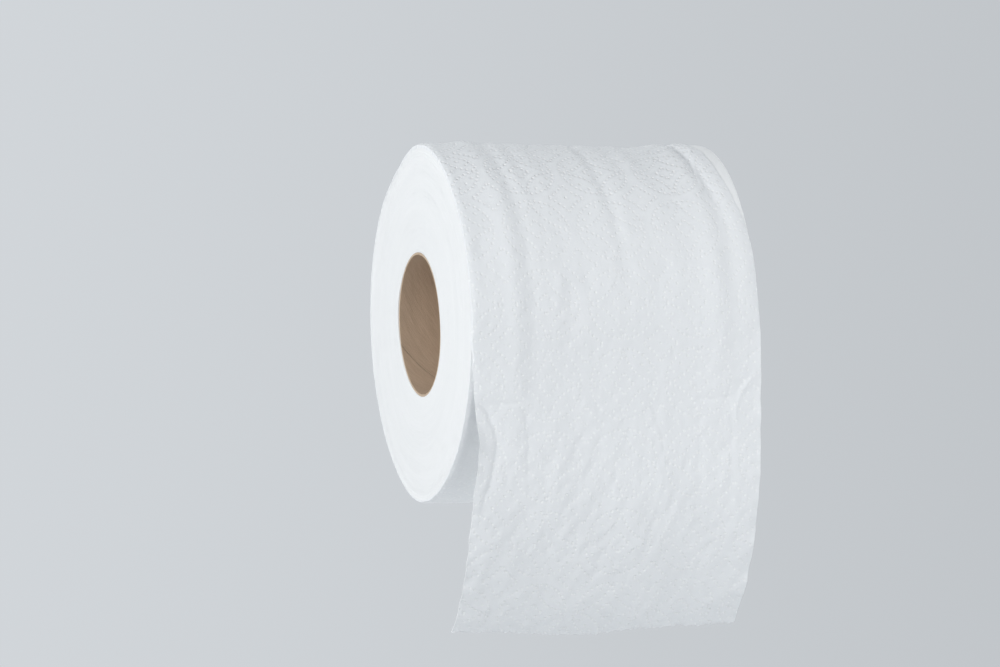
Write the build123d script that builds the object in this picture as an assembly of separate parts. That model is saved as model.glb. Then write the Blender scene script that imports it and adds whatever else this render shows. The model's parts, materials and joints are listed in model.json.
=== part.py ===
"""A toilet paper roll, hung by its core, with the loose end of the web hanging at the front.

The roll's axis is X.  The origin is the centre of the bore, +Z is up, and the loose end hangs
on the -Y side: it comes over the top of the roll towards the front and drops from there.
"""
import os
from math import asin, degrees

from build123d import *

# Driving dimensions, in millimetres and degrees
sheet_width = 94.0         # width of the web, and so the length of the wound roll
roll_diameter = 114.0      # over the outermost turn
sheet_thickness = 0.4      # one turn: the soft, embossed plies together

core_bore = 45.0           # inside of the board tube
core_wall = 0.7            # two plies of board, glued
core_recess = 0.3          # the cut paper stands this far past each end of the tube
core_seat = 0.0            # gap between the tube and the first turn, which is wound hard on it

tail_parting = 6.0         # the loose end clings to the turn below it for this far
tail_straight = 42.0       # from the level of the axis down to where the loose end curls
tail_curl_radius = 76.0    # what is left of the curl that the web had on the roll
tail_curl_angle = 42.5     # how far the loose end has curled back at its torn edge


def core_tube():
    """The board tube that the web is wound on."""
    bore_radius = core_bore / 2
    length = sheet_width - 2 * core_recess
    wall = Circle(bore_radius + core_wall) - Circle(bore_radius)
    return extrude(Plane.YZ * wall, amount=length / 2, both=True)


def paper_outline():
    """The web seen along the axis, in (Y, Z): the outermost turn, and the loose end.

    The outermost turn is a spiral of four quarter circles.  Each is smaller than the last by a
    quarter of the sheet's thickness, and its centre moves so that they meet smoothly, so after
    one turn the paper lies exactly one sheet below its own start.
    """
    radius = roll_diameter / 2
    step = sheet_thickness / 4
    front = CenterArc((0, 0), radius, 180, -90)
    back = CenterArc((0, step), radius - step, 90, -90)
    under_back = CenterArc((step, step), radius - 2 * step, 0, -90)

    # The last quarter stops where the loose end parts from it.
    last_radius = radius - 3 * step
    last_sweep = 90 - degrees(asin(tail_parting / last_radius))
    under_front = CenterArc((step, 0), last_radius, -90, -last_sweep)

    outer_y = -radius
    inner_y = sheet_thickness - radius
    curl_centre = (outer_y + tail_curl_radius, -tail_straight)
    inner_radius = tail_curl_radius - sheet_thickness
    parting_edge = Line(under_front @ 1, (inner_y, -tail_parting))
    inner_drop = Line((inner_y, -tail_parting), (inner_y, -tail_straight))
    inner_curl = CenterArc(curl_centre, inner_radius, 180, tail_curl_angle)
    outer_curl = CenterArc(curl_centre, tail_curl_radius, 180, tail_curl_angle)
    torn_edge = Line(inner_curl @ 1, outer_curl @ 1)
    outer_drop = Line((outer_y, -tail_straight), (outer_y, 0))
    return [
        front, back, under_back, under_front, parting_edge,
        inner_drop, inner_curl, torn_edge, outer_curl, outer_drop,
    ]


def paper_web():
    """All the turns and the loose end, as the one continuous web that they are."""
    seat_radius = core_bore / 2 + core_wall + core_seat
    profile = make_face(paper_outline()) - Circle(seat_radius)
    return extrude(Plane.YZ * profile, amount=sheet_width / 2, both=True)


os.makedirs("parts", exist_ok=True)
for name, solid in {"core_tube": core_tube(), "paper_web": paper_web()}.items():
    export_step(solid, f"parts/{name}.step")
    size = solid.bounding_box().size
    print(f"{name}: {solid.volume:.0f} mm3, {size.X:.2f} x {size.Y:.2f} x {size.Z:.2f} mm")
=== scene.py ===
# %% [markdown]
# # A toilet paper roll, hung by its board tube
# The roll is a long web of soft, embossed tissue wound on a tube of grey-brown board. The web
# comes over the top of the roll, and its last sheet hangs at the front, ready to be torn off.
# The packed CAD model is the fixed frame: it says how large everything is and where it sits. Here
# each of its solids is replaced by meshes with the folds, edges and finishes of the real thing.

# %% Load the frame
import json
import math

import bpy
import numpy as np
from mathutils import Matrix, Vector


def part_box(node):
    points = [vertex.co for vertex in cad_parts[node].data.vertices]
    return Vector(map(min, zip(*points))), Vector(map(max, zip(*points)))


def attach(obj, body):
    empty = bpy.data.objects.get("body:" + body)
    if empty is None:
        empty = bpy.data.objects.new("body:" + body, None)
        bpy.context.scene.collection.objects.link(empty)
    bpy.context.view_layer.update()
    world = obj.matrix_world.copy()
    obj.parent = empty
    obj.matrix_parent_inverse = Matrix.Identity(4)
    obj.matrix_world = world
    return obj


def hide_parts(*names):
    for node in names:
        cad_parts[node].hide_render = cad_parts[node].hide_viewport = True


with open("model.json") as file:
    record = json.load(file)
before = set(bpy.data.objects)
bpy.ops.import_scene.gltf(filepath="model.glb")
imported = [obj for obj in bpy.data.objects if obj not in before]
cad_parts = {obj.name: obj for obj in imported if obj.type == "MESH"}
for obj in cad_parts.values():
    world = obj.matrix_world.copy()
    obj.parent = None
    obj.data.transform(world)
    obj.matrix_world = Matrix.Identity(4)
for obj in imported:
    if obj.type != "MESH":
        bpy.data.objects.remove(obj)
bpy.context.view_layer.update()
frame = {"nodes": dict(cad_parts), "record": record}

# %% [markdown]
# ## Sizes
# The roll's radius, the tube's bore and the place of the torn edge are read from the frame, so the
# looks follow the CAD if it changes. Blender works in metres, and folds in paper are easier to
# think of in millimetres, so lengths are kept in millimetres and turned into metres only when a
# mesh is made. Two directions are used all through: `across` is along the roll's axis, and `up` is
# the way along the web, from 0 where it leaves the roll, negative down the hanging part.

# %% Read the sizes
MM = 0.001
web_low, web_high = (np.array(corner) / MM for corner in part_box("paper_web"))
tube_low, tube_high = (np.array(corner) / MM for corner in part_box("core_tube"))
half_width = web_high[0]
half_tube = tube_high[0]
roll_radius = -web_low[1]
tube_radius = tube_high[2]
bore_radius = frame["record"]["mounts"][0]["dims"]["r_mm"]

web_points = np.array([corner.co for corner in frame["nodes"]["paper_web"].data.vertices]) / MM
torn_y, torn_z = web_points[web_points[:, 2].argmin(), 1:]

drop_length = 42.0      # straight down before the curl begins
sheet_length = 125.0    # from one perforation to the next
turn_gap = 0.4          # the spiral comes in by this much each turn
rim_radius = 0.4        # how softly the cut ends turn over into the roll's surface
ply_thickness = 0.26    # the two plies of the sheet, pressed together

curl_drop, curl_back = -torn_z - drop_length, torn_y + roll_radius
curl_angle = 2 * math.atan2(curl_back, curl_drop)
curl_radius = curl_drop / math.sin(curl_angle)
hanging_length = drop_length + curl_radius * curl_angle
print(f"roll radius {roll_radius:.1f}, bore {bore_radius:.1f}, width {2 * half_width:.1f} mm")
print(f"the hanging part is {hanging_length:.1f} mm long")
print(f"it curls back {math.degrees(curl_angle):.1f} degrees")

# %% [markdown]
# ## Meshes from grids
# Every piece here is a surface that can be laid out flat: a sheet, a tube, or a ring of cut paper.
# So each one is a grid of points, computed with numpy, with a quad between each four neighbours.
# That gives even quads that follow the folds, which a modelled cube or cylinder would not.

# %% Make a mesh from grids of points
def quads(rows, columns, first=0, round_rows=False, round_columns=False, flip=False):
    """The quads of a grid of points, and whether each direction closes on itself."""
    row = np.arange(rows if round_rows else rows - 1)[:, None]
    column = np.arange(columns if round_columns else columns - 1)[None, :]
    next_row, next_column = (row + 1) % rows, (column + 1) % columns
    corners = [row * columns + column, row * columns + next_column,
               next_row * columns + next_column, next_row * columns + column]
    faces = np.stack([np.broadcast_to(c, (row.size, column.size)) for c in corners], axis=-1)
    faces = faces.reshape(-1, 4) + first
    return faces[:, ::-1] if flip else faces


def make_piece(name, points, faces, sheet_place=None):
    """A smooth mesh piece from points in millimetres. sheet_place is where each is on the web."""
    corner = points[faces]
    inside = np.einsum("ij,ij->", corner[:, 0] + corner[:, 2],
                       np.cross(corner[:, 1] - corner[:, 0], corner[:, 3] - corner[:, 0]))
    if inside < 0:
        faces = faces[:, ::-1]
    mesh = bpy.data.meshes.new(name)
    mesh.vertices.add(len(points))
    mesh.vertices.foreach_set("co", (points * MM).astype(np.float32).ravel())
    mesh.loops.add(faces.size)
    mesh.loops.foreach_set("vertex_index", faces.astype(np.int32).ravel())
    mesh.polygons.add(len(faces))
    mesh.polygons.foreach_set("loop_start", np.arange(0, faces.size, 4, dtype=np.int32))
    mesh.update(calc_edges=True)
    mesh.validate()
    if sheet_place is not None:
        attribute = mesh.attributes.new("sheet_place", "FLOAT_VECTOR", "POINT")
        attribute.data.foreach_set("vector", sheet_place.astype(np.float32).ravel())
    mesh.shade_smooth()
    mesh.set_sharp_from_angle(angle=math.radians(55))
    piece = bpy.data.objects.new(name, mesh)
    bpy.context.scene.collection.objects.link(piece)
    print(f"{name}: {2 * len(faces)} triangles")
    return piece


# %% [markdown]
# ## Uneven by nature
# Paper is never perfectly even, so most surfaces need smooth, random unevenness at a chosen size.
# A few dozen sine waves with random directions and phases add up to exactly that, and a fixed seed
# gives the same result each run. A crease is different: it has a place. It is made from its
# distance to a line drawn on the sheet, steep on one side and gentle on the other.

# %% Smooth unevenness and creases
def unevenness(across, up, size_across, size_up, seed, waves=24):
    """Smooth random values of about -1 to 1, whose bumps have the given sizes."""
    random = np.random.default_rng(seed)
    total = np.zeros(np.broadcast(across, up).shape)
    for _ in range(waves):
        turn = random.uniform(0, 2 * math.pi)
        pace = random.uniform(0.6, 1.5)
        phase = random.uniform(0, 2 * math.pi)
        total += np.cos(2 * math.pi * pace * (np.cos(turn) * across / size_across
                                              + np.sin(turn) * up / size_up) + phase)
    return total / math.sqrt(waves)


def smooth_step(value, start, end):
    """0 before start and 1 after end, with a soft change between. start may be the larger."""
    share = np.clip((value - start) / (end - start), 0, 1)
    return share * share * (3 - 2 * share)


def crease(across, up, line, depth, steep, gentle, fade=5.0):
    """A crease along a line of (across, up) points, which ends softly over the fade."""
    best = np.full(np.broadcast(across, up).shape, 1e9)
    side = np.ones_like(best)
    along = np.zeros_like(best)
    reached = 0.0
    for (a0, u0), (a1, u1) in zip(line, line[1:]):
        run_a, run_u = a1 - a0, u1 - u0
        length = math.hypot(run_a, run_u)
        share = np.clip(((across - a0) * run_a + (up - u0) * run_u) / length**2, 0, 1)
        off_a, off_u = across - a0 - share * run_a, up - u0 - share * run_u
        distance = np.hypot(off_a, off_u)
        nearer = distance < best
        best = np.where(nearer, distance, best)
        side = np.where(nearer, np.sign(off_a * run_u - off_u * run_a), side)
        along = np.where(nearer, reached + share * length, along)
        reached += length
    width = np.where(side > 0, steep, gentle)
    ends = smooth_step(along, 0, fade) * smooth_step(along, reached, reached - fade)
    return -depth * np.exp(-(best / width) ** 1.4) * ends


# %% [markdown]
# ## The squeezed roll
# A roll that has been handled is not quite round. This one is pressed flat high on the back of its
# left end and sags a little below, its last turns were pushed outwards at the right end, and its
# tube is a shade oval. Everything that touches the roll's surface uses the same two functions, so
# the tube, the wound turns and the outer sheets stay snug against each other.

# %% How far the roll and its tube are from round
def lobes(angle, times, top):
    """A wave that goes round the axis so many times, with a crest at an angle in degrees."""
    return np.cos(times * (angle - math.radians(top)))


def corner_flare(angle):
    """1 where the last turns were pushed outwards at the right end, high on the front, else 0."""
    return np.exp(-((angle - 1.15) / 0.5) ** 2)


def roll_squeeze(angle, across):
    """How far the roll's surface lies outside its ideal circle. The angle starts at the front."""
    left = 0.5 - 0.5 * across / half_width      # 1 at the left end, 0 at the right
    lumps = 0.24 * lobes(angle, 2, 2) + 0.2 * lobes(angle, 3, 21)
    lumps = lumps + (0.36 + 0.2 * left) * lobes(angle, 4, -12)
    lumps = lumps + (0.4 + 0.9 * left) * lobes(angle, 1, 168)
    drift = 0.12 * unevenness(across, 40 * np.sin(angle), 70, 50, 11)
    flare = 1.9 * corner_flare(angle) * smooth_step(across, half_width - 9, half_width - 1)
    pressed_flat = 1.8 * np.exp(-((angle - 2.07) / 0.3) ** 2) * left**2
    crown = 0.5 * np.exp(-((angle - 1.58) / 0.25) ** 2 - ((across + 33) / 14) ** 2)
    sag = 0.85 * np.exp(-((angle - 4.75) / 0.35) ** 2) * (0.3 + 0.7 * left)
    return 0.2 + 0.3 * left + lumps + drift + flare - pressed_flat + crown + sag


def tube_squeeze(angle, across):
    """How far the board tube lies outside its ideal circle."""
    left = 0.7 - 0.3 * across / half_width
    oval = 0.85 * lobes(angle, 2, -35) + 0.2 * lobes(angle, 3, -55)
    return left * (0.2 + oval + 0.35 * lobes(angle, 1, 212))


def around(angle, radius, across):
    """Points at an angle round the axis, from the front and over the top."""
    across, angle, radius = np.broadcast_arrays(across, angle, radius)
    return np.stack([across, -radius * np.cos(angle), radius * np.sin(angle)], axis=-1)


# %% [markdown]
# ## The board tube
# The tube is wound from strips of board, glued edge to edge on a slant, so the strips' seam runs
# inside it like a screw thread. The grid's columns follow that slant. Then the seam is simply a
# few columns close together, with the middle one pushed down into a groove, and one ply stands a
# hair above the other, as real strips do. The cut ends are rough, and show the joint of the plies.

# %% Build the board tube
def build_board_tube():
    seam_lead = 88.0       # the seam goes once round in this length
    seam_start = 201.5     # its angle at the left end, in degrees from the front
    even = np.linspace(0, 360, 248, endpoint=False)[3:-2]       # leaves room for the seam
    beside = np.array([-1.1, -0.6, -0.32, -0.16, 0, 0.16, 0.32, 0.6, 1.1])
    seam_degrees = np.degrees(beside / bore_radius)
    column = np.sort(np.concatenate([even, seam_degrees % 360]))
    from_seam = ((column + 180) % 360 - 180) * math.radians(1) * bore_radius

    # One loop along the inside, over the left rim, back along the outside, over the right rim.
    inside = np.linspace(half_tube, -half_tube, 90)
    outside = np.linspace(-half_tube, half_tube, 24)
    rim = np.linspace(0, 1, 7)[1:-1]
    edge = np.ones(len(rim))
    across = np.concatenate([inside, -half_tube * edge, outside, half_tube * edge])
    depth = np.concatenate([0 * inside, rim, np.ones(len(outside)), rim[::-1]])
    rim_side = np.concatenate([0 * inside, -edge, 0 * outside, edge])

    across, column = across[:, None], column[None, :]
    angle = np.radians(seam_start + 360 * (across + half_tube) / seam_lead - column)
    wall = tube_radius - bore_radius
    radius = bore_radius + wall * depth[:, None] + tube_squeeze(angle, across)

    inner = np.clip(1 - depth[:, None] * 4, 0, 1)
    groove = 0.2 * np.exp(-(from_seam / 0.17) ** 2)
    lip = 0.07 * np.exp(-(np.abs(from_seam) / 1.6)) * (from_seam > 0)
    fibres = 0.02 * unevenness(across, from_seam[None, :] + 0 * across, 2.3, 1.7, 5, 40)
    radius = radius + inner * (groove - lip + fibres)[None, :, :].reshape(radius.shape)

    ply_joint = 0.09 * np.exp(-((depth[:, None] - 0.5) / 0.12) ** 2)
    rough = 0.05 * unevenness(np.degrees(angle), depth[:, None] * 4, 3, 2, 6, 40)
    worn = 0.1 * (2 * depth[:, None] - 1) ** 4
    points = around(angle, radius, across)
    points[..., 0] -= rim_side[:, None] * (ply_joint + rough + worn)
    rows, columns = points.shape[:2]
    faces = quads(rows, columns, round_rows=True, round_columns=True)
    place = np.stack(np.broadcast_arrays(across, from_seam[None, :], depth[:, None]), axis=-1)
    return make_piece("board_tube", points.reshape(-1, 3), faces, place.reshape(-1, 3))


board_tube = build_board_tube()

# %% [markdown]
# ## The wound turns
# All the turns under the outermost one are a solid ring of paper. Its profile, taken from the bore
# out across one cut end, along the roll and back across the other end, is swept round the axis.
# The saw leaves the ends almost flat: bands of turns stand a fraction of a millimetre proud or
# low, and the last few turns, wound looser, each end at their own height with a soft rounded rim.

# %% Build the wound turns
def end_relief(from_core, angle, end):
    """How far the cut end stands out, from the tube to the rim, in millimetres."""
    depth = roll_radius - tube_radius
    bands = 0.07 * unevenness(from_core, end * 50 + 0 * angle, 7.0, 30, 21 + end)
    tilt = 0.16 * unevenness(from_core, 18 * np.cos(angle), 30, 30, 23 + end)
    tilt += 0.16 * unevenness(from_core, 18 * np.sin(angle), 30, 30, 25 + end)
    turns = 0.035 * unevenness(from_core, 3 * angle / math.pi, 0.9, 6, 27 + end)
    loose = smooth_step(from_core, depth - 5, depth)
    ragged = 0.14 * unevenness(0 * from_core, 9 * np.sin(angle), 1.0, 11, 29 + end)
    glued = -0.25 * smooth_step(from_core, 1.2, 0)
    return bands + tilt + turns + loose * ragged + glued


def build_wound_turns():
    rim = rim_radius
    face_steps = np.concatenate([np.linspace(0, 0.86, 52), np.linspace(0.88, 1, 24)])
    corner = np.radians(np.linspace(0, 90, 8)[1:])
    straight = np.sin(np.radians(np.linspace(-90, 90, 36)[1:-1]))
    bore = np.linspace(1, -1, 6)[1:-1]

    # Each point of the profile: how far out from the tube (0 to 1), along the axis (-1 to 1),
    # and how far it lies in from the end and from the surface because the rim is rounded.
    face, round_corner = np.ones(len(face_steps)), np.ones(len(corner))
    out = np.concatenate([face_steps, round_corner, np.ones(len(straight)), round_corner,
                          face_steps[::-1], 0 * bore])
    side = np.concatenate([-face, -round_corner, straight, round_corner, face, bore])
    from_end = np.concatenate([0 * face, rim * (1 - np.cos(corner)), rim * np.ones(len(straight)),
                               rim * (1 - np.cos(corner[::-1])), 0 * face, 0 * bore])
    from_top = np.concatenate([rim * face, rim * (1 - np.sin(corner)), 0 * straight,
                               rim * (1 - np.sin(corner[::-1])), rim * face, 0 * bore])

    angle = np.linspace(0, 2 * math.pi, 360, endpoint=False)[None, :]
    # The body lies just below the spiral of the outer turn, and deeper where its end is tucked in.
    under = 0.38 + turn_gap * angle / (2 * math.pi) + 0.4 * smooth_step(np.degrees(angle), 40, 14)
    out, side = out[:, None], side[:, None]
    on_end = (np.abs(side) == 1).astype(float)
    across = side * (half_width - np.where(on_end > 0, from_end[:, None], rim))
    inner = tube_radius + 0.04 + tube_squeeze(angle, across)
    # At the flared corner these turns rise to the level of the sheet that slipped inwards there.
    level = corner_flare(angle) * smooth_step(across, half_width - 6, half_width - 3)
    outer = roll_radius + roll_squeeze(angle, across) - under + 0.7 * level
    radius = inner + (outer - on_end * rim - inner) * out
    radius = np.where(out == 1, outer - from_top[:, None], radius)

    from_core = np.broadcast_to(out * (roll_radius - tube_radius - rim), radius.shape)
    relief = np.where(side < 0, *(end_relief(from_core, angle, end) for end in (0, 1)))
    ease = 1 - from_end[:, None] / rim
    points = around(angle, radius, across)
    points[..., 0] += np.sign(side) * on_end * ease * relief
    rows, columns = points.shape[:2]
    faces = quads(rows, columns, round_rows=True, round_columns=True, flip=True)
    return make_piece("wound_turns", points.reshape(-1, 3), faces)


wound_turns = build_wound_turns()

# %% [markdown]
# ## The path of the web
# The outer sheets follow one path: down the curl and the straight drop, then round the roll. It is
# a short function of `up`, so a sheet is made flat, folded and creased there, and then laid on the
# path. Each turn lies a little below the one before, and so the web tucks under its own start.

# %% Lay a point of the web on its path
def on_path(up):
    """Where the web lies without folds, as (y, z), and the direction out of its face."""
    angle = np.clip(up, 0, None) / roll_radius
    curled = np.clip(-up - drop_length, 0, None) / curl_radius
    radius = roll_radius - turn_gap * angle / (2 * math.pi)
    y = np.where(up > 0, -radius * np.cos(angle),
                 -roll_radius + curl_radius * (1 - np.cos(curled)))
    z = np.where(up > 0, radius * np.sin(angle),
                 np.maximum(up, -drop_length) - curl_radius * np.sin(curled))
    out_y = np.where(up > 0, -np.cos(angle), -np.cos(curled))
    out_z = np.where(up > 0, np.sin(angle), -np.sin(curled))
    return y, z, out_y, out_z


# %% [markdown]
# ## Folds and creases of the outer sheets
# Seen from the front, the sheet that hangs has long soft folds, 8 to 11 mm apart, where it was
# pulled off the roll. A few sharper creases were pressed in by fingers: a valley left of the
# middle, a level fold a little below where the sheet leaves the roll, and a pleat that draws the
# left edge in. Lower down the folds fade into slanting ripples. All of it is one function of the
# place on the web, so the two outer sheets agree where they meet at the perforation.

# %% How far the web stands off its path
soft_folds = [
    # (across, width, height, up where it is full, up where it is gone): long folds from pulling
    (-34.0, 6.5, 0.80, 66, -60), (-45.5, 2.4, 0.32, 60, 15), (-33.4, 3.2, 0.62, 30, -64),
    (-27.9, 2.0, -0.32, 60, -22), (-24.6, 2.3, 0.38, 62, 6), (-17.4, 3.0, 0.48, 66, 28),
    (-9.5, 3.6, 0.24, 62, 20), (-0.8, 2.6, 0.30, 66, 5), (3.0, 2.2, -0.55, 50, -28),
    (7.2, 2.8, 0.26, 66, 20), (16.4, 2.6, 0.40, 70, 38), (22.8, 3.0, -0.32, 66, 10),
    (34.4, 6.0, 0.60, 66, -10), (33.4, 3.7, 0.80, 20, -34), (39.8, 2.2, -0.35, 62, 26),
    (43.0, 2.2, 0.28, 34, -12), (-39.0, 2.2, 0.20, -30, -62), (-20.5, 3.6, 0.22, -30, -80),
    (4.8, 3.8, 0.22, -30, -84), (14.4, 2.6, 0.22, -38, -62), (29.0, 2.6, 0.16, -25, -70),
]
fold_lines = {
    # name: ((across, up) points, depth, steep side, gentle side)
    "long crease": ([(-30.6, -21), (-30.2, -34), (-29.8, -50)], 0.16, 0.5, 1.6),
    "pleat": ([(-46.6, -18.8), (-43.2, -23.3), (-41.6, -28), (-41.0, -33), (-41.5, -39), (-42.8, -46),
               (-45.2, -55)], 0.50, 0.6, 1.5),
    "level fold left": ([(-46, -20.6), (-38, -20.8), (-29, -20.2)], 0.30, 0.5, 1.2),
    "level fold right": ([(24, -20.4), (31, -20.8), (40, -20.0)], 0.26, 0.5, 1.2),
    "slanting crease": ([(46.5, -11.5), (43, -15), (40.2, -18.6), (38.5, -23), (38.1, -30)],
                        -0.30, 0.5, 1.1),
    "corner crease": ([(45.5, 78), (41.6, 70), (39.2, 63), (37.4, 55), (36.6, 48)], -0.30, 0.5, 1.3),
    "corner crease 2": ([(36.9, 51), (38.6, 43), (41.6, 38)], -0.16, 0.5, 1.1),
    "thread crease 1": ([(9.8, -19), (11.4, -25), (13.6, -32), (16.4, -43)], 0.17, 0.45, 1.3),
    "thread crease 2": ([(15.6, -40), (14.2, -50), (12.0, -58), (9.4, -66)], 0.18, 0.5, 1.5),
    "thread crease 3": ([(26.2, -28), (26.4, -36), (25.8, -50)], 0.12, 0.45, 1.3),
    "thread crease 4": ([(36.2, -18), (37.2, -34), (37.0, -54)], 0.11, 0.45, 1.2),
    "thread crease 5": ([(0.5, -57), (-3, -62), (-7, -67)], 0.15, 0.5, 1.5),
}
pinches = [
    # (across, up, depth, size): small dents and puckers pressed in by fingertips
    (-18.0, 16, -0.34, 1.6), (-16.6, 34, 0.26, 1.4), (-9.0, 17.4, 0.5, 2.2), (6.2, 34.5, -0.36, 1.5),
    (5.6, 19.0, 0.36, 1.7), (17.0, 20.5, 0.38, 1.7), (18, -6.8, 0.24, 1.6), (-15.0, 11, 0.34, 1.8),
    (-42.4, 28, 0.28, 2.4), (35.2, 5.5, 0.16, 2.0), (-1.6, 15, -0.18, 1.4), (18.6, -43, 0.22, 1.5),
]


def web_folds(across, up):
    """How far the web stands off its path, in millimetres, outwards."""
    fresh = 0.25 + 0.75 * smooth_step(up, 115, 62)
    tail = smooth_step(up, 5, -50)
    wander = 0.7 * unevenness(0 * up, up, 10, 60, 40)
    height = 0.34 + 0.07 * unevenness(across, up, 9.0, 60, 42, 30) * (1 - tail)
    height += 0.16 * unevenness(across, up, 30, 110, 41, 30)
    crumpled = 0.75 - 0.3 * across / half_width
    height += 0.17 * unevenness(across + 0.55 * up, up, 22, 48, 43, 30) * tail * crumpled
    ripples = 0.085 * (0.4 + 0.9 * tail * crumpled)
    height += ripples * unevenness(across - 0.35 * up, up, 9, 20, 44, 30)
    height += 0.045 * unevenness(across, up, 3.8, 6.0, 45, 40) * (1 + 0.6 * tail)
    for place, width, fold, full, gone in soft_folds:
        strength = smooth_step(up, gone, full) if full > -5 else bump_between(up, gone, full)
        height += fold * np.exp(-((across - place - wander) / width) ** 2) * strength * fresh
    for line, depth, steep, gentle in fold_lines.values():
        height += crease(across, up, line, depth, steep, gentle)
    for place_across, place_up, depth, size in pinches:
        near = np.hypot(across - place_across, 0.75 * (up - place_up)) / size
        height -= depth * np.exp(-near**2)
    one_turn = 2 * math.pi * roll_radius
    tucked = smooth_step(up, one_turn - 14, one_turn)
    return height * (1 - tucked) + 0.1 * tucked


def bump_between(value, start, end):
    """0 outside start and end, and 1 midway between."""
    middle, half = (start + end) / 2, abs(end - start) / 2
    return smooth_step(np.abs(value - middle), half, 0)


def hanging_bow(across, up):
    """The hanging part stands a little off its plain path, stiff where it leaves the roll."""
    share = np.clip(-up / hanging_length, -0.12, 1)
    bow = 2.3 * np.sin(math.pi * np.clip((share + 0.12) / 0.95, 0, 1)) ** 1.5
    end = 1.85 * smooth_step(-up, 45, hanging_length)
    twist = 0.95 * (across / half_width) * smooth_step(-up, 20, hanging_length)
    middle = 1.0 * (1 - (across / half_width) ** 2) * smooth_step(-up, 40, hanging_length)
    return bow + end + twist + middle


def edge_lift(across, up):
    """The free side edges are wavy, and lift most where the pleat draws the left one in."""
    left, right = across + half_width, half_width - across
    wave_left = 0.30 * unevenness(0 * up, up, 10, 13, 51)
    wave_left += 0.16 * unevenness(0 * up, up, 10, 4.5, 52)
    wave_right = 0.24 * unevenness(0 * up, up, 10, 15, 53)
    wave_right += 0.10 * unevenness(0 * up, up, 10, 5.0, 54)
    held = 1 - 0.75 * smooth_step(up, -10, 10)
    lifted = 1.5 * np.exp(-((up + 33) / 9.0) ** 2) * np.exp(-left / 2.6)
    ruffle = 0.35 * np.exp(-((up - 37) / 7.0) ** 2) * np.exp(-left / 1.6)
    return (held * (wave_left * np.exp(-left / 2.2) + wave_right * np.exp(-right / 2.4))
            + lifted + ruffle)


def edge_wander(across, up):
    """How far a place is moved along the axis, since the web's side edges aren't quite straight."""
    near_left = smooth_step(across, -half_width + 16, -half_width)
    near_right = smooth_step(across, half_width - 16, half_width)
    angle = np.clip(up, 0, None) / roll_radius
    wound = smooth_step(up, -4, 10)
    free = 0.12 - 0.1 * wound
    drawn_in = 1.5 * np.exp(-((up + 34) / 11.0) ** 2) + free * unevenness(0 * up, up, 10, 9, 55)
    over_top = 4.2 * smooth_step(up, 24, 66) * smooth_step(up, 190, 110)
    slipped = over_top - 0.15 * (1 - wound) + free * unevenness(0 * up, up, 10, 11, 56)
    # On the roll the edges follow the cut ends, and stand a hair proud of them.
    rim = roll_radius - tube_radius - rim_radius
    left_rim, right_rim = (end_relief(rim + 0 * angle, angle, end) * wound for end in (0, 1))
    left_in, right_in = drawn_in - left_rim - 0.04, slipped - right_rim - 0.04
    return near_left * left_in - near_right * right_in


# %% [markdown]
# ## The perforations and the torn edge
# A toothed blade cuts the web every 125 mm into short slits with narrow bonds between them. On the
# roll the slits stay nearly closed, and show as a faint dotted line. The last sheet was torn along
# such a line, so its lower edge is uneven and keeps the stubs of the bonds.

# %% The perforated line and the torn edge
bond_pitch = 4.3
perforation_up = sheet_length - hanging_length


def bonds(across):
    """1 on the narrow bonds of the perforated line, and 0 on the slits between them."""
    from_bond = np.abs((across + 0.4 * bond_pitch) % bond_pitch - bond_pitch / 2)
    return smooth_step(from_bond, 0.75, 0.35)


def perforation_dent(across, up):
    """The slits' edges turn slightly in along each perforated line."""
    dent = np.zeros(np.broadcast(across, up).shape)
    for line in range(3):
        away = (up - perforation_up - line * sheet_length) / 0.45
        dent += 0.03 * (1 - 0.75 * bonds(across)) * np.exp(-away**2)
    return dent


def tear(across, seed):
    """How far the torn edge hangs below a straight cut."""
    sweep = 2.0 * np.exp(-((across + 6.6) / 15.0) ** 2) - 0.4 * np.exp(-((across + 38) / 5.0) ** 2)
    ragged = 0.22 * unevenness(across, 0 * across, 4.2, 9, seed)
    ragged += 0.12 * unevenness(across, 0 * across, 1.5, 9, seed + 1)
    return sweep - 0.6 + ragged + 0.55 * bonds(across) * (0.6 + 0.4 * np.sin(across * 1.7))


# %% [markdown]
# ## The outer sheets
# The web is one long strip, and a perforation divides it into the sheet that hangs and the turn
# that is still wound. Each is a closed skin: a grid for the outer face, the same grid a ply's
# thickness below for the inner face, and a rim that joins them. The grid is finest where the folds
# are seen close, and wider round the back.

# %% Build a sheet of the web
def web_surface(across, up, below=0.0):
    """Points of the web, with all its folds, at a depth below its outer face."""
    y, z, out_y, out_z = on_path(up)
    angle = np.clip(up, 0, None) / roll_radius
    squeeze = roll_squeeze(angle % (2 * math.pi), across) * smooth_step(up, -45, 0)
    off = squeeze + web_folds(across, up) + hanging_bow(across, up) + edge_lift(across, up)
    from_edge = half_width - np.abs(across)
    rounded = (0.5 - 0.35 * corner_flare(angle) * (across > 0)) * np.exp(-from_edge / 0.55)
    rounded = rounded * smooth_step(up, -4, 14)
    off = off - perforation_dent(across, up) - rounded - below
    aside = across + edge_wander(across, up)
    # Wound, the next few turns fill the gap under the edges, so the inner face goes down to them.
    inset = np.clip(half_width - np.abs(aside), 0, None)
    filled = np.exp(-from_edge / 0.8) * smooth_step(up, -12, 0) * (below > 0)
    seat = 0.55 + 0.45 * smooth_step(up, 42, 14) + 0.4 * np.exp(-inset / 0.5)
    off = off + filled * (squeeze - seat - off)
    return np.stack([aside, y + off * out_y, z + off * out_z], axis=-1)


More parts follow.
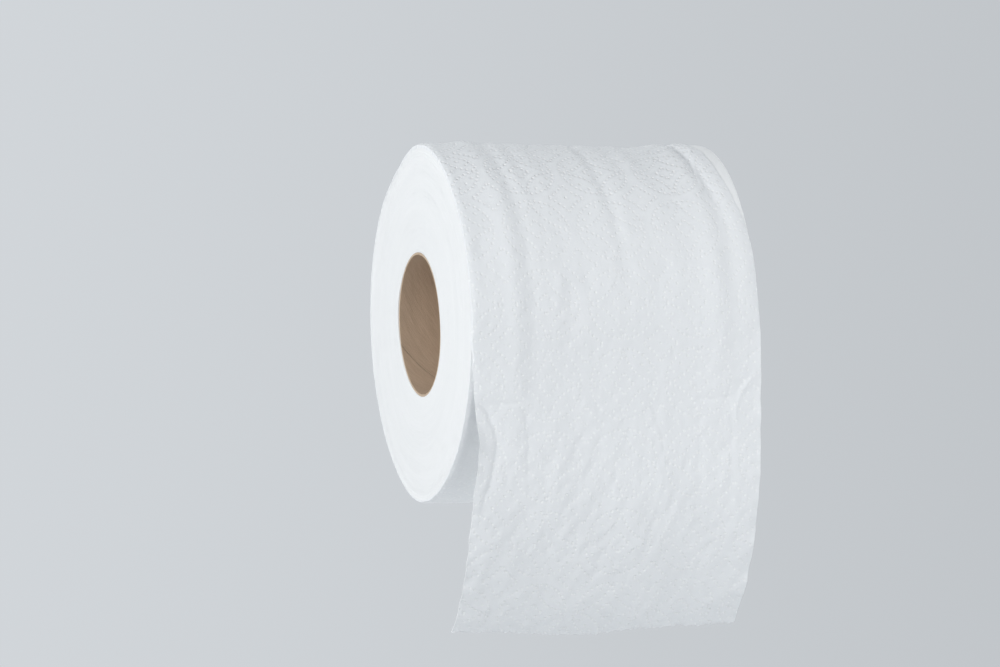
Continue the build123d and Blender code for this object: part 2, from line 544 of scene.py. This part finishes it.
def build_sheet(name, up_rows, columns, torn=False):
    """A closed sheet over the given rows. The first row is torn where torn is true."""
    across = np.linspace(-half_width, half_width, columns)[None, :]
    near_tear = smooth_step(up_rows, up_rows[0] + 14, up_rows[0])[:, None] * torn
    skins, places = [], []
    for below, seed in ((0.0, 61), (ply_thickness, 67)):
        up = up_rows[:, None] - near_tear * tear(across, seed)
        skins.append(web_surface(across, up, below))
        places.append(np.stack(np.broadcast_arrays(across, up, below), axis=-1))
    rows = len(up_rows)
    count = rows * columns
    grid = np.arange(count).reshape(rows, columns)
    loop = np.concatenate([grid[0, :-1], grid[:-1, -1], grid[-1, :0:-1], grid[:0:-1, 0]])
    after = np.roll(loop, -1)
    rim = np.stack([loop, loop + count, after + count, after], axis=-1)
    faces = np.concatenate([quads(rows, columns), quads(rows, columns, count, flip=True), rim])
    points = np.concatenate([skin.reshape(-1, 3) for skin in skins])
    return make_piece(name, points, faces, np.concatenate([p.reshape(-1, 3) for p in places]))


def rows_between(start, end, step):
    return np.linspace(start, end, max(2, round((end - start) / step) + 1))


perforation_rows = np.array([-1.2, -0.8, -0.5, -0.25])
hanging_rows = np.concatenate([rows_between(-hanging_length, perforation_up - 1.7, 0.51),
                               perforation_up + perforation_rows, [perforation_up]])
hanging_sheet = build_sheet("hanging_sheet", hanging_rows, 190, torn=True)

full_turn = 2 * math.pi * roll_radius
tuck_end = full_turn + 16
wound_rows = np.concatenate([[perforation_up], perforation_up - perforation_rows[::-1],
                             rows_between(perforation_up + 1.8, 122, 0.64),
                             rows_between(123.3, full_turn - 30, 1.45),
                             rows_between(full_turn - 29, tuck_end, 1.2)])
outer_turn = build_sheet("outer_turn", wound_rows, 138)

# %% [markdown]
# ## Shader maths as Python
# A material is a graph of nodes, and long formulas are hard to read as a graph. So one small class
# wraps a node's socket and gives it the ordinary operators: `1 - mask * 0.5` then adds the Math
# nodes itself. Any other node is made by one method, `node`, which takes the node's type, its
# settings, and what goes into its sockets.

# %% A socket with operators, and the finish it belongs to
class Wire:
    """An output socket that can be used in ordinary expressions."""

    def __init__(self, finish, socket):
        self.finish, self.socket = finish, socket

    def math(self, operation, *others):
        inputs = dict(enumerate((self,) + others))
        return self.finish.node("Math", {"operation": operation}, inputs)

    def __add__(self, other): return self.math("ADD", other)
    def __radd__(self, other): return self + other
    def __sub__(self, other): return self.math("SUBTRACT", other)
    def __rsub__(self, other): return self * -1 + other
    def __mul__(self, other): return self.math("MULTIPLY", other)
    def __rmul__(self, other): return self * other
    def __truediv__(self, other): return self.math("DIVIDE", other)
    def __mod__(self, other): return self.math("FLOORED_MODULO", other)
    def __pow__(self, other): return self.math("POWER", other)
    def __lt__(self, other): return self.math("LESS_THAN", other)
    def __abs__(self): return self.math("ABSOLUTE")
    def floor(self): return self.math("FLOOR")
    def round(self): return self.math("ROUND")
    def sqrt(self): return self.math("SQRT")
    def sin(self): return self.math("SINE")
    def exp(self): return self.math("EXPONENT")

    def soft(self, start, end):
        """0 before start and 1 after end, with a soft change between."""
        span = {"Value": self, "From Min": start, "From Max": end}
        return self.finish.node("MapRange", {"interpolation_type": "SMOOTHSTEP"}, span)


class Finish:
    """A node tree being built, with one way to add a node."""

    def __init__(self, owner):
        owner.use_nodes = True
        self.owner, self.tree = owner, owner.node_tree
        self.tree.nodes.clear()

    def node(self, kind, settings=None, inputs=None, out=0):
        made = self.tree.nodes.new("ShaderNode" + kind)
        for key, value in (settings or {}).items():
            if key == "stops":
                elements = made.color_ramp.elements
                while len(elements) < len(value):
                    elements.new(0.5)
                for element, (position, colour) in zip(elements, value):
                    element.position, element.color = position, colour
            else:
                setattr(made, key, value)
        for key, value in (inputs or {}).items():
            if isinstance(value, Wire):
                self.tree.links.new(value.socket, made.inputs[key])
            else:
                made.inputs[key].default_value = value
        return Wire(self, made.outputs[out]) if made.outputs else None

    def parts(self, vector):
        """The three numbers of a vector."""
        split = self.node("SeparateXYZ", None, {"Vector": vector})
        return [Wire(self, output) for output in split.socket.node.outputs]

    def vector(self, x, y, z):
        return self.node("CombineXYZ", None, {"X": x, "Y": y, "Z": z})

    def noise(self, vector, scale, detail=2.0, roughness=0.5):
        """Noise from 0 to 1, whose bumps are about 1 / scale across."""
        inputs = {"Vector": vector, "Scale": scale, "Detail": detail, "Roughness": roughness}
        return self.node("TexNoise", {"noise_dimensions": "3D"}, inputs)

    def blend(self, share, first, second):
        """A colour that goes from first to second."""
        inputs = {"Factor": share, "A": first, "B": second}
        return self.node("Mix", {"data_type": "RGBA"}, inputs, out=2)

    def bump(self, height, distance, strength=1.0, normal=None):
        inputs = {"Height": height, "Distance": distance, "Strength": strength}
        if normal is not None:
            inputs["Normal"] = normal
        return self.node("Bump", None, inputs)

    def surface(self, settings):
        """The finished surface, from values and links of a Principled BSDF's sockets."""
        shader = self.node("BsdfPrincipled", None, settings)
        self.node("OutputMaterial", None, {"Surface": shader})
        return self.owner


def rgb(red, green, blue):
    return (red, green, blue, 1.0)


print("operators ready:", sorted(n for n in vars(Wire) if n.startswith("__r")))

# %% [markdown]
# ## The finish of the tissue
# Tissue is matt, soft and slightly blue-white, and light enters it a little. Its emboss is a field
# of small round dents in dotted arcs. The plies are pressed together there, so the dents are a
# little whiter than the rest. That whitening is partly their own colour and partly a painted
# highlight, which is strongest on top of the roll, where each dent also gets a ring of painted shade.
# Two kinds of motif take turns on the diagonals of a square repeat, a large star and a small one,
# and the arcs round each star's neighbours cross in between to make petals. The repeat is mirrored
# both ways, so a point is folded into one quarter of it: the large star is then at one corner and
# the small star at the other.

# %% Press dents into the tissue
emboss_repeat = 24.7
large_star = (13.7, 46.5)     # where one of the large stars is on the web
dent_gap = 1.72


def dotted_arcs(x, y, near, far, near_reach, far_reach):
    """How far a point is from the nearest dent on two arcs round 0, 0, in millimetres."""
    distance = (x * x + y * y).sqrt()
    turn = y.math("ARCTAN2", x) - math.pi / 4
    is_far = 1 - (distance < (near + far) / 2)
    arc = is_far * (far - near) + near
    reach = is_far * math.radians(far_reach - near_reach) + math.radians(near_reach)
    steps = turn * arc / dent_gap
    along = (steps - steps.round()) * dent_gap
    off_arc = distance - arc
    past_end = 9 * (1 - (abs(turn) < reach))
    return (along * along + off_arc * off_arc).sqrt() + past_end


def emboss(across, up):
    """How far a place on the web is from the nearest pressed dent, in millimetres."""
    half = emboss_repeat / 2
    x = abs((across - large_star[0] + half) % emboss_repeat - half)
    y = abs((up - large_star[1] + half) % emboss_repeat - half)
    large = dotted_arcs(x, y, 12.3, 15.3, 38, 13)
    small = dotted_arcs(half - x, half - y, 10.8, 13.9, 44, 19)
    outwards, sideways = (x + y) * 0.707 - 9.1, (y - x) * 0.707
    beside = sideways - (sideways / 3.4).round() * 3.4
    petal = (outwards * outwards + beside * beside).sqrt() + 9 * (1 - (abs(sideways) < 5))
    centre = (x * x + y * y).sqrt()
    nearest = large.math("MINIMUM", small).math("MINIMUM", petal).math("MINIMUM", centre)
    return nearest


def make_tissue():
    finish = Finish(bpy.data.materials.new("embossed tissue"))
    place = finish.node("Attribute", {"attribute_name": "sheet_place"}, out=1)
    across, up, below = finish.parts(place)
    nearest = emboss(across, up)
    dents = nearest.soft(0.62, 0.12)
    pressed = finish.noise(place, 0.06, 2.0).soft(0.25, 0.75) * 0.3 + 0.7
    pressed = pressed * (1 - up.soft(285, 320) * 0.7)
    on_top = up.soft(25, 70) * (1 - up.soft(100, 150))
    low = up.soft(-30, -80)
    depth = pressed * (0.12 + up.soft(-20, 20) * 0.04 + low * 0.07 + on_top * 0.15)
    fibres = finish.noise(place, 1.9, 6.0, 0.62)
    cloud = finish.noise(place, 0.35, 3.0, 0.55)
    height = fibres * 0.07 + cloud * (low * 0.05 + 0.07) - dents * depth
    normal = finish.bump(height, 0.001)
    tone = finish.noise(place, 0.08, 3.0)
    colour = finish.blend(tone, rgb(0.845, 0.865, 0.88), rgb(0.87, 0.887, 0.90))
    # Painted shade: a darker ring round each dent on top of the roll, where the light rakes across
    # it.
    shade = nearest.soft(1.3, 0.75) * (1 - nearest.soft(0.75, 0.6)) * pressed * on_top
    colour = finish.blend(shade * 0.5, colour, rgb(0.76, 0.785, 0.805))
    # Whiter dents: partly the pressed plies' own colour, partly a painted highlight, full on top of
    # the roll and half elsewhere.
    whiter_dents_and_highlight = nearest.soft(0.72, 0.25) * pressed * (on_top * 0.5 + 0.5)
    colour = finish.blend(whiter_dents_and_highlight, colour, rgb(0.985, 0.99, 0.995))
    return finish.surface({
        "Base Color": colour, "Roughness": 0.93, "Specular IOR Level": 0.12, "Normal": normal,
        "Subsurface Weight": 0.12, "Subsurface Radius": (1.0, 1.0, 1.0), "Subsurface Scale": 0.0007,
    })


tissue = make_tissue()

# %% [markdown]
# ## The finish of the cut ends
# The cut ends show the edges of about eighty turns as faint, fine rings. Each ring is a little
# lighter or darker than its neighbour, and where two turns don't touch there is a thin broken line:
# a slight groove in the bump, with painted shade in its colour.
# The rings are drawn from the distance to the axis, and only near the two ends.

# %% Make the cut tissue
def make_cut_tissue():
    finish = Finish(bpy.data.materials.new("cut tissue"))
    x, y, z = [part * 1000 for part in finish.parts(finish.node("TexCoord", out=3))]
    radius = (y * y + z * z).sqrt()
    turn = z.math("ARCTAN2", y) / (2 * math.pi)
    at_end = abs(x).soft(half_width - 2.2, half_width - 1.0)
    at_end = at_end * radius.soft(roll_radius - 1, roll_radius - 3)
    ring_place = finish.vector(radius * 1.25, y * 0.045, z * 0.045)
    rings = finish.noise(ring_place, 1.0, 3.0, 0.6)
    bands = finish.noise(finish.vector(radius * 0.22, y * 0.02, z * 0.02), 1.0, 2.0)
    lines = ((radius / 0.36 + turn) * (2 * math.pi)).sin() * 0.5 + 0.5
    fuzz = finish.noise(finish.vector(x, y, z), 2.6, 5.0, 0.65)
    open_place = finish.vector(radius * 2.4, y * 0.09, z * 0.09)
    open_gaps_and_shade = finish.noise(open_place, 1.0, 2.0, 0.5).soft(0.66, 0.74) * at_end
    sawn = finish.noise(finish.vector(x * 0.2, y * 1.1, z * 0.05), 1.0, 3.0, 0.6)
    height = (lines * 0.03 + rings * 0.08 + sawn * 0.16 - open_gaps_and_shade * 0.04) * at_end + fuzz * 0.03
    normal = finish.bump(height, 0.001)
    tone = bands * 0.5 + rings * 0.5
    colour = finish.blend(tone.soft(0.3, 0.7), rgb(0.855, 0.868, 0.872), rgb(0.88, 0.892, 0.895))
    # Painted shade darkens the open gaps between turns.
    colour = finish.blend(open_gaps_and_shade * 0.08, colour, rgb(0.62, 0.63, 0.64))
    return finish.surface({
        "Base Color": colour, "Roughness": 0.95, "Specular IOR Level": 0.1, "Normal": normal,
        "Subsurface Weight": 0.12, "Subsurface Radius": (1.0, 1.0, 1.0), "Subsurface Scale": 0.0007,
    })


cut_tissue = make_cut_tissue()

# %% [markdown]
# ## The finish of the board
# The board is grey-brown recycled pulp: short pale and dark fibres in all directions, a slightly
# uneven tone, and a darker line of glue in the seam. Its cut ends are paler than its faces.

# %% Make the board
def make_board():
    finish = Finish(bpy.data.materials.new("grey board"))
    place = finish.node("Attribute", {"attribute_name": "sheet_place"}, out=1)
    across, from_seam, depth = finish.parts(place)
    flat_place = finish.vector(across, from_seam, 0.0)
    turned = finish.vector(across * 0.8 + from_seam * 0.6, from_seam * 0.8 - across * 0.6, 3.0)
    stretched = finish.vector(across * 0.35, from_seam * 1.6, 9.0)
    mottle = finish.noise(flat_place, 0.22, 4.0, 0.6)
    fibres = finish.noise(stretched, 1.3, 5.0, 0.7)
    specks = finish.noise(turned, 2.2, 3.0, 0.6).soft(0.64, 0.76)
    glue = (abs(from_seam) * -2.6).exp()
    cut = depth.soft(0.08, 0.2) * depth.soft(0.92, 0.8)
    colour = finish.blend(mottle, rgb(0.45, 0.335, 0.24), rgb(0.60, 0.46, 0.34))
    colour = finish.blend(fibres.soft(0.5, 0.75) * 0.35, colour, rgb(0.72, 0.58, 0.44))
    colour = finish.blend(specks * 0.35, colour, rgb(0.20, 0.15, 0.11))
    colour = finish.blend(glue * 0.55, colour, rgb(0.20, 0.15, 0.105))
    colour = finish.blend(cut * 0.6, colour, rgb(0.62, 0.50, 0.37))
    normal = finish.bump(fibres * 0.10 + mottle * 0.15, 0.001)
    return finish.surface({
        "Base Color": colour, "Roughness": 0.82, "Specular IOR Level": 0.3, "Normal": normal,
    })


board = make_board()

# %% [markdown]
# ## What each piece stands for
# Each piece rides on the fixed body, takes its finish, and hides the CAD solid that it replaces.
# The two outer sheets are cut to the real size of their flat paper.

for piece, finish, node, slot in ((board_tube, board, "core_tube", "board"),
                                  (wound_turns, cut_tissue, "paper_web", "tissue"),
                                  (outer_turn, tissue, "paper_web", "tissue"),
                                  (hanging_sheet, tissue, "paper_web", "tissue")):
    piece.data.materials.append(finish)
    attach(piece, "root")
    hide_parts(node)

(tuck_end - perforation_up) * MM

# %% [markdown]
# ## The stage
# The roll hangs in a plain, pale room, which is a little brighter on the left. A large soft lamp at
# the left rakes across the paper, so the folds show, and weaker ones fill in from the front, from
# below, from the right and from behind. The floor is far below, as under a real holder.

# %% Light the room
def make_room():
    finish = Finish(bpy.data.worlds.new("pale room"))
    side, depth, height = finish.parts(finish.node("TexCoord", out=0))
    rightwards = side * 0.95 - depth * 0.312
    colour = finish.blend(rightwards.soft(-0.35, 0.45),
                          rgb(0.655, 0.685, 0.715), rgb(0.50, 0.525, 0.55))
    colour = finish.blend(depth.soft(0.35, -0.35), colour, rgb(0.35, 0.365, 0.38))
    colour = finish.blend(height.soft(0.15, 0.75), colour, rgb(0.36, 0.38, 0.40))
    backdrop = finish.node("Background", None, {"Color": colour, "Strength": 1.0})
    finish.node("OutputWorld", None, {"Surface": backdrop})
    return finish.owner


def direction(azimuth, elevation):
    """The way from the roll to a place round it. Azimuth 0 is the front, and 90 is the right."""
    turn, rise = math.radians(azimuth), math.radians(elevation)
    level = math.cos(rise)
    return Vector((math.sin(turn) * level, -math.cos(turn) * level, math.sin(rise)))


def add_lamp(name, azimuth, elevation, distance, size, power, colour=(1, 1, 1)):
    """A square soft lamp that faces the roll."""
    lamp = bpy.data.lights.new(name, "AREA")
    lamp.size, lamp.energy, lamp.color = size, power, colour
    thing = bpy.data.objects.new(name, lamp)
    away = direction(azimuth, elevation)
    thing.location = away * distance
    thing.rotation_euler = (-away).to_track_quat("-Z", "Y").to_euler()
    bpy.context.scene.collection.objects.link(thing)


bpy.context.scene.world = make_room()
add_lamp("left lamp", -64, 22, 1.3, 0.7, 9.4)
add_lamp("front lamp", 40, 7, 0.7, 0.45, 1.65)
add_lamp("low left lamp", -85, -35, 1.25, 0.9, 1.6, (1.0, 0.94, 0.87))
add_lamp("low back lamp", 150, -25, 1.3, 0.9, 5.0, (1.0, 0.95, 0.89))
add_lamp("right side lamp", 108, 8, 1.3, 0.9, 5.0)
add_lamp("back lamp", 175, 20, 1.3, 0.9, 4.5)

floor_mesh = bpy.data.meshes.new("floor")
floor_radius, floor_height = 3.2, -0.8
ring = [(floor_radius * math.cos(a), floor_radius * math.sin(a), floor_height)
        for a in np.radians(np.arange(0, 360, 5))]
floor_mesh.from_pydata(ring, [], [list(range(len(ring)))])
floor = bpy.data.objects.new("floor", floor_mesh)
floor_mesh.materials.append(Finish(bpy.data.materials.new("pale floor")).surface(
    {"Base Color": rgb(0.86, 0.88, 0.90), "Roughness": 0.9}))
bpy.context.scene.collection.objects.link(floor)

# %% [markdown]
# ## The camera
# A long lens looks at the roll from the front left, slightly above the axis, so the cut end with
# its tube and the front of the hanging sheet are both seen.

# %% Place the camera
def add_camera(azimuth, elevation, distance, aim, roll, lens):
    data = bpy.data.cameras.new("camera")
    data.lens, data.sensor_width = lens, 36
    camera = bpy.data.objects.new("camera", data)
    camera.location = direction(azimuth, elevation) * distance
    look = (Vector(aim) * MM - camera.location).to_track_quat("-Z", "Y")
    tilt = Matrix.Rotation(math.radians(roll), 3, "Z")
    camera.rotation_euler = (look.to_matrix() @ tilt).to_euler()
    bpy.context.scene.collection.objects.link(camera)
    return camera


bpy.context.scene.camera = add_camera(-19.46, 3.93, 0.8542, (-17.6, 5.5, -4.0), 0.33, 93.6)
bpy.context.scene.view_settings.view_transform = "Standard"

# %% [markdown]
# ## The size
# The finished look and the CAD box differ by up to 4 mm, which is how far the hanging part bows
# and twists off its plain path.
